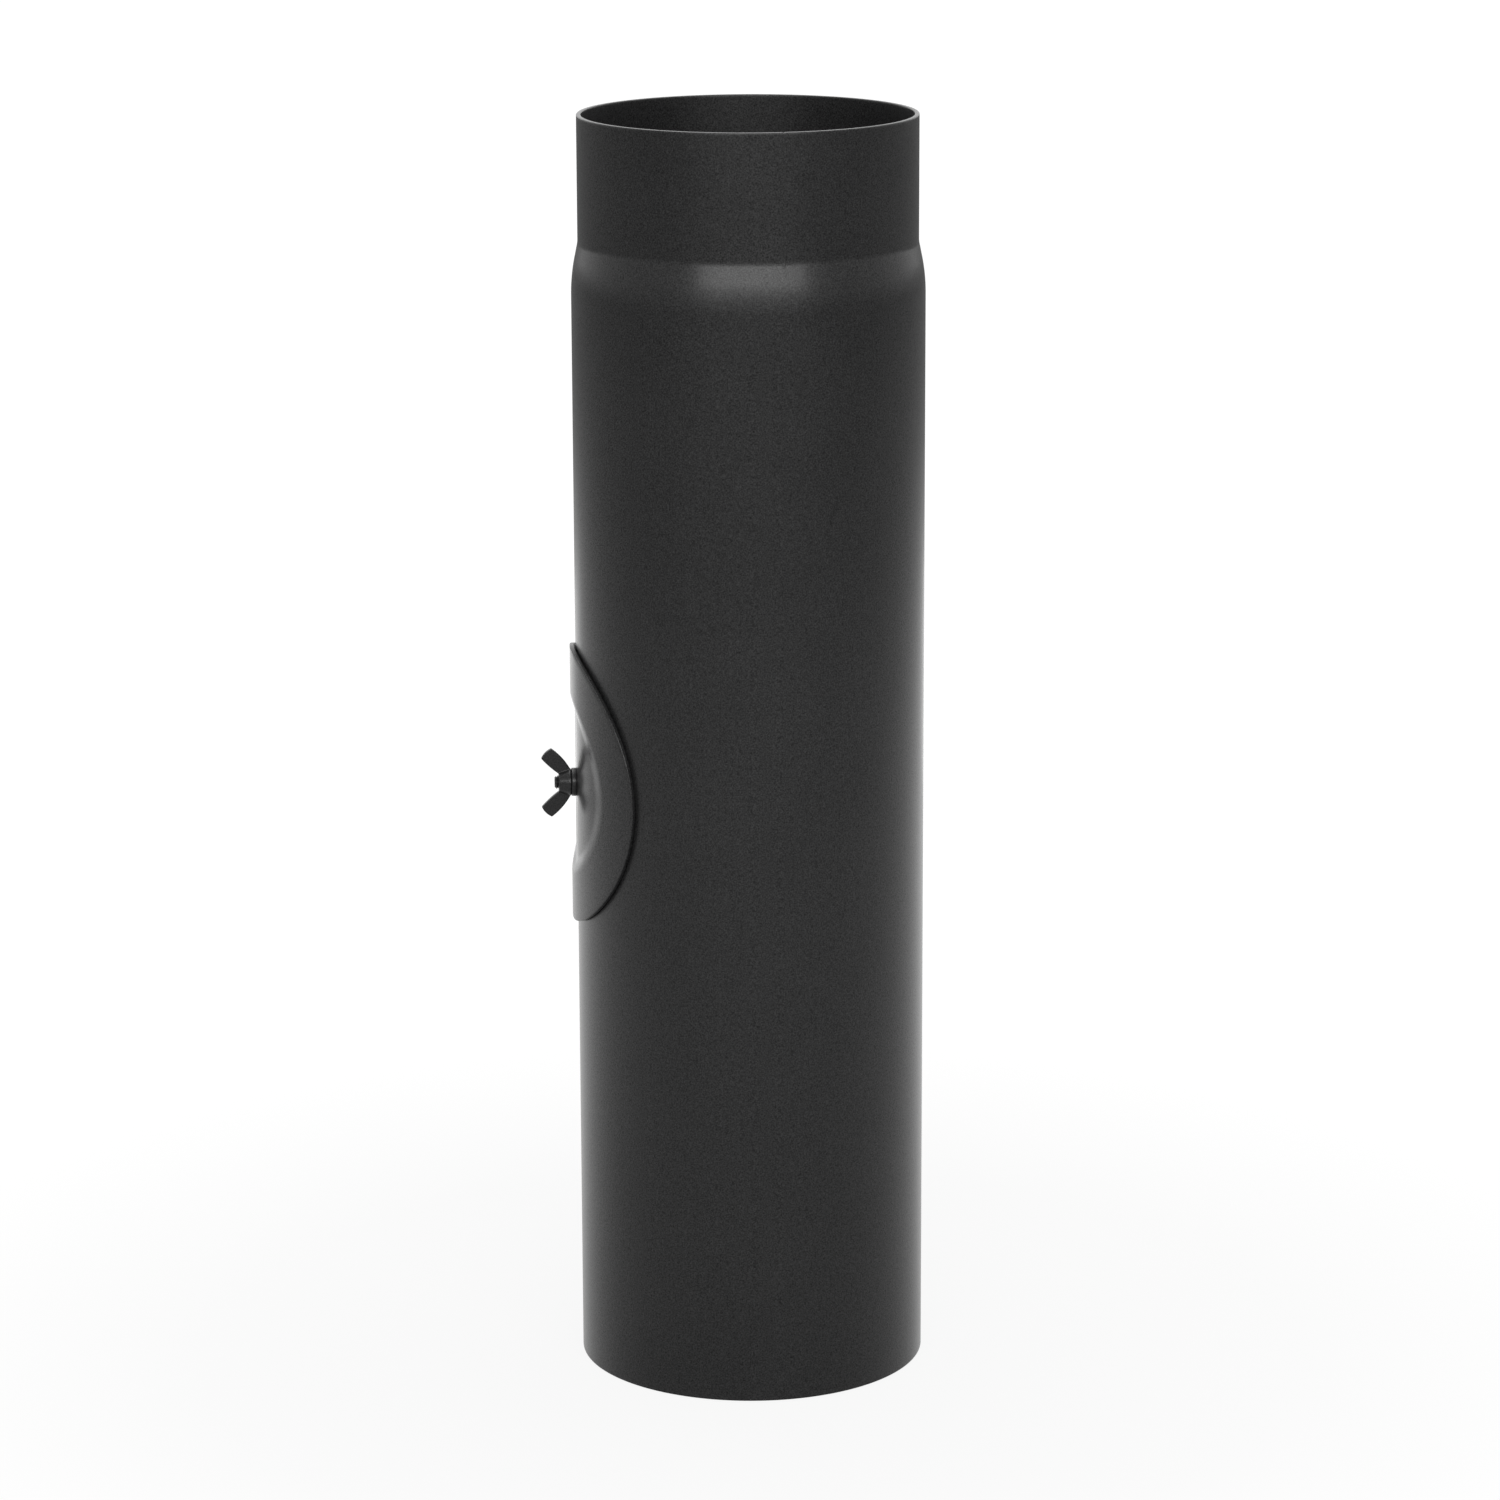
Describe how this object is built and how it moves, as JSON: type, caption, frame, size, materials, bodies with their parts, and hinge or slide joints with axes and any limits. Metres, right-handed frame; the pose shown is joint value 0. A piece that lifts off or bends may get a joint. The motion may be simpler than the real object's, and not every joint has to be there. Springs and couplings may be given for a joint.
{
  "type": "stove pipe with inspection door",
  "caption": "Straight flue pipe with a swaged spigot, a plain socket and a round clamped inspection door in its side.",
  "frame": {"origin": "on the pipe's axis in the plane of its lower, socket end", "axes": "+Z along the pipe to its spigot end, -X through the middle of the inspection door"},
  "size_m": [0.1696, 0.154, 0.56],
  "materials": {
    "pipe_paint": "matte black heat-resistant paint with a fine grain",
    "door_paint": "matte black heat-resistant paint with a fine grain",
    "inner_paint": "matte black heat-resistant paint",
    "fastener_paint": "satin black paint"
  },
  "bodies": {
    "pipe": {"pipe": "pipe_paint"},
    "bridge": {"bridge_bar": "inner_paint", "carriage_bolt": "fastener_paint"},
    "door": {"door_plate": "door_paint", "washer": "fastener_paint"},
    "wing_nut": {"wing_nut": "fastener_paint"}
  },
  "joints": [
    {"name": "door_lift", "type": "slide", "parent": "pipe", "child": "door", "axis": [-1, 0, 0], "range_m": [0, 0.08]},
    {"name": "wing_nut_turn", "type": "hinge", "parent": "door", "child": "wing_nut", "pos_m": [-0.0795, 0, 0.265], "axis": [-1, 0, 0], "range_deg": [0, 2700]},
    {"name": "bridge_release", "type": "slide", "parent": "pipe", "child": "bridge", "axis": [1, 0, 0], "range_m": [0, 0.0075]}
  ],
  "couplings": [
    {"joint": "wing_nut_turn", "follows": "bridge_release", "rad_per_m": 6283.2}
  ]
}
